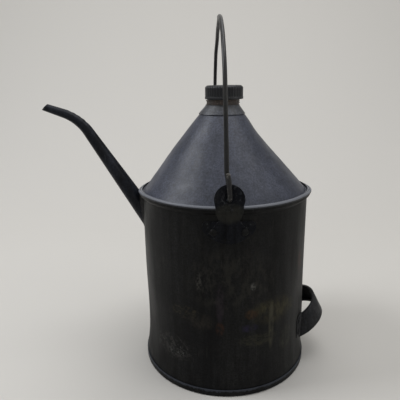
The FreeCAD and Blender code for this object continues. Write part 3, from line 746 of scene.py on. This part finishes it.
# the angles are in degrees round the can, from the middle of the handle
strapFeet = {"wallRadius": 79.1, "footStart": 24.0, "narrow": 0.6, "thinStart": 25.5, "thinEnd": 30.0,
             "thin": 0.3, "rivetTurn": 2.7, "rivetSink": 0.4}


def hammerFeet(piece, look):
    # both feet of the strap are shortened, and beaten thin towards their ends
    for corner in piece.data.vertices:
        x, y = (value / mm for value in corner.co.xy)
        radius = math.hypot(x, y)
        turn = math.degrees(math.atan2(y, x))
        beyond = abs(turn) - look["footStart"]
        if beyond <= 0:
            continue
        kept = 1 + (look["thin"] - 1) * easeIn(abs(turn), look["thinStart"], look["thinEnd"])
        radius = look["wallRadius"] + (radius - look["wallRadius"]) * kept
        turn = math.radians(math.copysign(look["footStart"] + beyond * look["narrow"], turn))
        corner.co.x = radius * mm * math.cos(turn)
        corner.co.y = radius * mm * math.sin(turn)


def turnRivets(piece, look):
    # the rivets follow the shortened feet, and their heads are knocked flatter
    for corner in piece.data.vertices:
        radius = math.hypot(corner.co.x, corner.co.y)
        turn = math.atan2(corner.co.y, corner.co.x)
        turn -= math.copysign(math.radians(look["rivetTurn"]), turn)
        stand = radius - look["wallRadius"] * mm
        radius -= max(0.0, stand) * look["rivetSink"]
        corner.co.x = radius * math.cos(turn)
        corner.co.y = radius * math.sin(turn)


strap = softPiece("strap_handle", "strapHandle", strapFinish, "can", "strap_paint", edges["strap"])
strapRivets = softPiece("strap_rivets", "strapRivets", strapFinish, "can", "rivet_steel", edges["rivet"])
hammerFeet(strap, strapFeet)
turnRivets(strapRivets, strapFeet)
knockAbout(strap, knocked)
knockAbout(strapRivets, knocked)
softPiece("spout_solder", "spoutSolder", solderFinish, "can", "solder", edges["solder"])
softPiece("cap_liner", "capLiner", linerFinish, "liner", "liner_board", edges["liner"])
print("ears, rivets, strap and neck softened")


# bail: stiff wire, bent by hand over a former

bailWire = {"radius": 2.0, "legRadius": 1.8, "pivot": 186.0, "legY": 80.8, "hookY": 88.2, "hookTop": 207.5,
            "archBase": 248.9, "archSteps": 48, "bend": 2.8, "sides": 20, "spacing": 4.0,
            "wander": 0.2, "wanderScale": 0.03, "freeStart": 25.0, "freeSpan": 30.0,
            "hookBend": 0.7, "hookGap": 1.0, "hookSpan": 3.0, "hookWear": 0.62, "endRadius": 0.78,
            "rubbed": (60.0, 25.0),
            "frontBend": [(0, 0.0), (189, 0.0), (198, -0.8), (209, -2.2), (275, -3.3), (310, -3.7),
                          (326, -4.2), (332, -4.4)],
            "backBend": [(0, 0.0), (189, 0.0), (215, -2.4), (272, -5.7), (300, -5.3), (318, -4.3),
                         (328, -3.9), (332, -4.4)]}  # each bend is a height and how far the leg stands off


def makeBail(look):
    # a wire hook in each ear, two legs that are each bent their own way, and a round arch
    half = [Vector((0, -look["hookY"], look["hookTop"])), Vector((0, -look["hookY"], look["pivot"])),
            Vector((0, -look["legY"], look["pivot"])), Vector((0, -look["legY"], look["archBase"]))]
    side = roundedLine(half, [0.0, look["bend"], look["bend"], 0.0], 6)
    turns = [math.pi * step / look["archSteps"] for step in range(1, look["archSteps"])]
    arch = [Vector((0, -look["legY"] * math.cos(turn), look["archBase"] + look["legY"] * math.sin(turn)))
            for turn in turns]
    line = splitLong(side + arch + [Vector((0, -p.y, p.z)) for p in reversed(side)], look["spacing"])
    spots = []
    radii = []
    for point in line:
        free = max(0.0, min(1.0, (point.z - look["pivot"] - look["freeStart"]) / look["freeSpan"]))
        drift = noise.noise_vector(point * look["wanderScale"]) * look["wander"] * free
        hooked = abs(point.y) > look["legY"] + look["hookGap"]
        lean = look["frontBend"] if point.y < 0 else look["backBend"]
        shift = stepped(point.z, lean) * (look["hookBend"] if hooked else 1.0)
        spots.append(point + Vector((drift.x + shift, drift.y, -abs(drift.z))))
        radii.append(look["radius"] + (look["legRadius"] - look["radius"]) * free)
    radii[0] = radii[-1] = look["radius"] * look["endRadius"]

    def build(shape):
        rings = tubeAlong(shape, spots, radii, look["sides"])
        shape.faces.new(rings[0])
        shape.faces.new(rings[-1])

    piece = meshPiece("bailWire", build)
    markWearAndHighlight(piece, *look["rubbed"])
    for corner, value in zip(piece.data.vertices, piece.data.attributes["rubbed"].data):
        low = corner.co.z < (look["hookTop"] + look["hookGap"]) * mm
        if low and abs(corner.co.y) > (look["hookY"] - look["hookSpan"]) * mm:
            value.value = max(value.value, look["hookWear"])
    return piece


dress(makeBail(bailWire), wireFinish, "bail", "bail_steel", "bail_wire")

# spout: a tapered tube rolled from sheet, with small creases inside its bend

spoutTube = {"wallRadius": 79.0, "height": 152.8, "rise": 57.9, "straight": 91.9, "bend": 42.0,
             "turn": 38.6, "nozzle": 20.5, "base": 8.4, "tip": 3.4, "cutBack": 2.35, "bevel": 25.0,
             "sheet": 0.6, "inset": 2.0, "sides": 40, "bendSteps": 24, "spacing": 3.0,
             "creases": [0.28, 0.46, 0.63, 0.8], "creaseDepth": 0.3, "creaseWidth": 0.05,
             "seamStand": 0.3, "seamWidth": 0.16, "cutterSides": 160, "cutterHeight": 300.0,
             "rubbed": (60.0, 25.0)}


def makeSpout(look):
    rise = math.radians(look["rise"])
    flat = rise - math.radians(look["turn"])
    along = Vector((-math.cos(rise), 0, math.sin(rise)))
    beyond = Vector((-math.cos(flat), 0, math.sin(flat)))
    root = Vector((-look["wallRadius"], 0, look["height"]))
    reach = look["bend"] * math.tan(math.radians(look["turn"]) / 2)
    corner = root + along * (look["straight"] + reach)
    bendLength = look["bend"] * math.radians(look["turn"])
    total = look["straight"] + bendLength + look["nozzle"]
    lead = look["base"] * 2
    spill = look["tip"] * 2
    corners = [root - along * lead, corner, corner + beyond * (reach + look["nozzle"] + spill)]
    line = splitLong(roundedLine(corners, [0.0, look["bend"], 0.0], look["bendSteps"]), look["spacing"])
    walked = [-lead]
    for start, end in zip(line, line[1:]):
        walked.append(walked[-1] + (end - start).length)
    taper = (look["base"] - look["tip"]) / total
    radii = [look["base"] - taper * distance for distance in walked]

    def crimp(index, turn, radius):
        # creases lie on the inner side of the bend, and the long seam on the underside
        inner = max(0.0, -math.sin(turn)) ** 2
        share = (walked[index] - look["straight"]) / bendLength
        fold = sum(math.exp(-((share - place) / look["creaseWidth"]) ** 2) for place in look["creases"])
        off = math.remainder(turn + math.pi / 2, 2 * math.pi)
        seam = math.exp(-(off / look["seamWidth"]) ** 2) * look["seamStand"]
        return radius - look["creaseDepth"] * fold * inner + seam - look["seamStand"] / 2

    def bore(index, turn, radius):
        return crimp(index, turn, radius) - look["sheet"]

    def build(shape):
        outer = tubeAlong(shape, line, radii, look["sides"], squeeze=crimp)
        inner = tubeAlong(shape, line, radii, look["sides"], squeeze=bore)
        for a, b in ((outer[0], inner[0]), (outer[-1], inner[-1])):
            for step in range(look["sides"]):
                following = (step + 1) % look["sides"]
                shape.faces.new([a[step], a[following], b[following], b[step]])

    piece = meshPiece("spoutTube", build)
    tip = corner + beyond * (reach + look["nozzle"] - look["cutBack"])
    cutTurn = flat + math.radians(look["bevel"])
    cutNormal = Vector((-math.cos(cutTurn), 0, math.sin(cutTurn)))
    shape = bmesh.new()
    shape.from_mesh(piece.data)
    geometry = shape.verts[:] + shape.edges[:] + shape.faces[:]
    cut = bmesh.ops.bisect_plane(shape, geom=geometry, plane_co=tip * mm, plane_no=cutNormal,
                                 clear_outer=True)
    rim = [item for item in cut["geom_cut"] if isinstance(item, bmesh.types.BMEdge)]
    bmesh.ops.bridge_loops(shape, edges=rim)
    bmesh.ops.recalc_face_normals(shape, faces=shape.faces)
    shape.to_mesh(piece.data)
    shape.free()
    smoothShade(piece.data)
    return piece


def trimToWall(piece, look):
    # the tube's root is cut to the curve of the wall that it opens into
    radius = look["wallRadius"] - bodyShell["sheet"] - look["inset"]
    height = look["cutterHeight"]
    bpy.ops.mesh.primitive_cylinder_add(vertices=look["cutterSides"], radius=radius * mm,
                                        depth=height * mm, location=(0, 0, height / 2 * mm))
    cutter = bpy.context.object
    trim = piece.modifiers.new("root", "BOOLEAN")
    trim.object = cutter
    trim.operation = "DIFFERENCE"
    trim.solver = "EXACT"
    trimmed = evaluated(piece)
    piece.modifiers.clear()
    piece.data = trimmed
    bpy.data.objects.remove(cutter)
    smoothShade(piece.data)


spout = makeSpout(spoutTube)
trimToWall(spout, spoutTube)
markWearAndHighlight(spout, *spoutTube["rubbed"])
dress(spout, spoutFinish, "can", "spout_paint", "spout_tube")
print("bail and spout made")


# cap: moulded plastic with grip ribs, a smooth lower band and a slightly dished top

screwCap = {"radius": 17.5, "wall": 1.2, "topWall": 1.8, "chamfer": 1.3, "rib": 0.5, "ribs": 42,
            "band": 0.2, "bandHeight": 1.8, "columns": 8, "spacing": 1.2,
            "dishRadius": 9.0, "dishEdge": 11.0, "dish": 0.5, "lipDrop": 0.1,
            "crownIn": 0.6, "shoulderIn": 0.35, "shoulderDrop": 0.8,
            "bandEase": 0.5, "footEase": 0.3, "ribLow": 0.3, "ribHigh": 0.2, "ribInside": 1.6,
            "sharp": 30.0, "rubbed": (60.0, 20.0)}


def makeCap(look, bottom, top):
    side = look["radius"]
    band = side + look["band"]
    bandTop = bottom + look["bandHeight"]
    shoulder = top - look["chamfer"]
    outside = [(0.0, top - look["dish"]), (look["dishRadius"], top - look["dish"]),
               (look["dishEdge"], top - look["lipDrop"]), (side - look["chamfer"] - look["crownIn"], top),
               (side - look["shoulderIn"], shoulder), (side, shoulder - look["shoulderDrop"]),
               (side, bandTop + look["bandEase"]), (band, bandTop),
               (band, bottom + look["footEase"]), (band - look["footEase"], bottom)]
    bore = side - look["wall"]
    inside = [(bore, bottom), (bore, top - look["topWall"]), (0.0, top - look["topWall"])]
    ribStart, ribEnd = bandTop + look["ribLow"], shoulder + look["ribHigh"]
    outer = splitLong([Vector(p) for p in outside], look["spacing"])
    profile = outer + [Vector(p) for p in inside]
    count = look["ribs"] * look["columns"]

    def build(shape):
        rows = []
        for column in range(count):
            turn = 2 * math.pi * column / count
            share = (column % look["columns"]) / look["columns"]
            groove = max(0.0, math.cos(2 * math.pi * share)) ** 0.8 * look["rib"]
            row = []
            for index, point in enumerate(profile):
                gripped = (index < len(outer) and ribStart < point.y < ribEnd
                           and point.x > side - look["ribInside"])
                radius = point.x - (groove if gripped else 0.0)
                row.append(shape.verts.new(onCircle(radius, turn, point.y)))
            rows.append(row)
        for index, row in enumerate(rows):
            after = rows[(index + 1) % count]
            for place in range(len(profile) - 1):
                shape.faces.new([row[place], after[place], after[place + 1], row[place + 1]])

    piece = meshPiece("screwCap", build, look["sharp"])
    markWearAndHighlight(piece, *look["rubbed"])
    return piece


capLow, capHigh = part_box("screw_cap")
dress(makeCap(screwCap, capLow.z / mm, capHigh.z / mm), capFinish, "cap", "cap_plastic", "screw_cap")
print("cap made")


# stage: pale floor, soft lamps and the camera

# the sizes here are in metres and the lamps' powers in watts
stage = {"floorColour": (0.58, 0.56, 0.525), "floorRough": 0.8, "floorShine": 0.2, "floorSize": 6.0,
         "floorDrop": -0.0002, "wallAt": 0.95, "sweep": 0.6, "sweepSteps": 24,
         "backColour": (0.72, 0.71, 0.67), "skyColour": (0.93, 0.96, 1.0), "skyLight": 0.32}


def makeFloor(look):
    # one sheet of paper that lies flat and then sweeps up behind the can
    material, _, shader = newFinish("floorPaint")
    shader.inputs["Base Color"].default_value = look["floorColour"] + (1.0,)
    shader.inputs["Roughness"].default_value = look["floorRough"]
    shader.inputs["Specular IOR Level"].default_value = look["floorShine"]
    half = look["floorSize"] / 2
    corners = [(-half, look["floorDrop"]), (look["wallAt"], look["floorDrop"]), (look["wallAt"], half)]
    sweep = roundedLine(corners, [0.0, look["sweep"], 0.0], look["sweepSteps"])

    def build(shape):
        rows = [[shape.verts.new((side * half, point.x, point.y)) for side in (-1, 1)]
                for point in sweep]
        for row, after in zip(rows, rows[1:]):
            shape.faces.new([row[0], row[1], after[1], after[0]])

    floor = meshPiece("floor", build)
    floor.data.materials.append(material)


makeFloor(stage)

world = bpy.data.worlds.new("studio")
bpy.context.scene.world = world
world.use_nodes = True
sky = world.node_tree
background = sky.nodes["Background"]
output = sky.nodes["World Output"]
background.inputs["Color"].default_value = stage["skyColour"] + (1.0,)
background.inputs["Strength"].default_value = stage["skyLight"]
seen = put(sky, "Background", {"Color": stage["backColour"], "Strength": 1.0})
rays = put(sky, "LightPath")
mirrored = sums(sky, "MAXIMUM", rays.outputs["Is Glossy Ray"], rays.outputs["Is Transmission Ray"])
shown = sums(sky, "MAXIMUM", rays.outputs["Is Camera Ray"], mirrored)
choice = put(sky, "MixShader", {0: shown, 1: background.outputs[0], 2: seen.outputs[0]})
sky.links.new(choice.outputs[0], output.inputs["Surface"])


lamps = {
    "keyLamp": {"place": (-0.88, -0.04, 1.05), "target": (0, 0, 0.14), "size": (0.45, 0.6),
                "power": 7.5, "colour": (0.95, 0.97, 1.0)},
    "topLamp": {"place": (0.25, 0.2, 1.35), "target": (0, 0, 0.14), "size": (1.1, 0.9),
                "power": 6.5, "colour": (0.97, 0.98, 1.0)},
    "backLamp": {"place": (0.3, -0.1, 1.5), "target": (0.1, 0.95, 0.45), "size": (1.6, 0.5),
                 "power": 5.0, "colour": (1.0, 1.0, 1.0)},
    "fillLamp": {"place": (1.1, -0.5, 0.6), "target": (0, 0, 0.14), "size": (0.5, 0.9),
                 "power": 2.2, "colour": (1.0, 0.98, 0.95)}}


def softLamp(name, look):
    lamp = bpy.data.lights.new(name, "AREA")
    lamp.shape = "RECTANGLE"
    lamp.size, lamp.size_y = look["size"]
    lamp.energy = look["power"]
    lamp.color = look["colour"]
    holder = newObject(name, lamp)
    holder.location = look["place"]
    aim = Vector(look["target"]) - Vector(look["place"])
    holder.rotation_euler = aim.to_track_quat("-Z", "Y").to_euler()


for name, look in lamps.items():
    softLamp(name, look)

# eye in metres, angles in degrees, and yaw turns towards -X
lookout = {"eye": (-0.0217, -0.4140, 0.2786), "yaw": 0.27, "down": 15.68, "roll": -0.87, "lens": 39.29,
           "sensor": 36.0, "nearest": 0.01}


def makeCamera(look):
    yaw, down, roll = (math.radians(look[key]) for key in ("yaw", "down", "roll"))
    ahead = Vector((-math.sin(yaw) * math.cos(down), math.cos(yaw) * math.cos(down), -math.sin(down)))
    level = Vector((math.cos(yaw), math.sin(yaw), 0.0))
    upright = level.cross(ahead)
    right = level * math.cos(roll) + upright * math.sin(roll)
    up = upright * math.cos(roll) - level * math.sin(roll)
    lens = bpy.data.cameras.new("camera")
    lens.lens = look["lens"]
    lens.sensor_width = look["sensor"]
    lens.clip_start = look["nearest"]
    holder = newObject("camera", lens)
    holder.matrix_world = Matrix((
        (right.x, up.x, -ahead.x, look["eye"][0]),
        (right.y, up.y, -ahead.y, look["eye"][1]),
        (right.z, up.z, -ahead.z, look["eye"][2]),
        (0.0, 0.0, 0.0, 1.0)))
    bpy.context.scene.camera = holder


makeCamera(lookout)
bpy.context.scene.view_settings.view_transform = "Standard"
print("stage set")
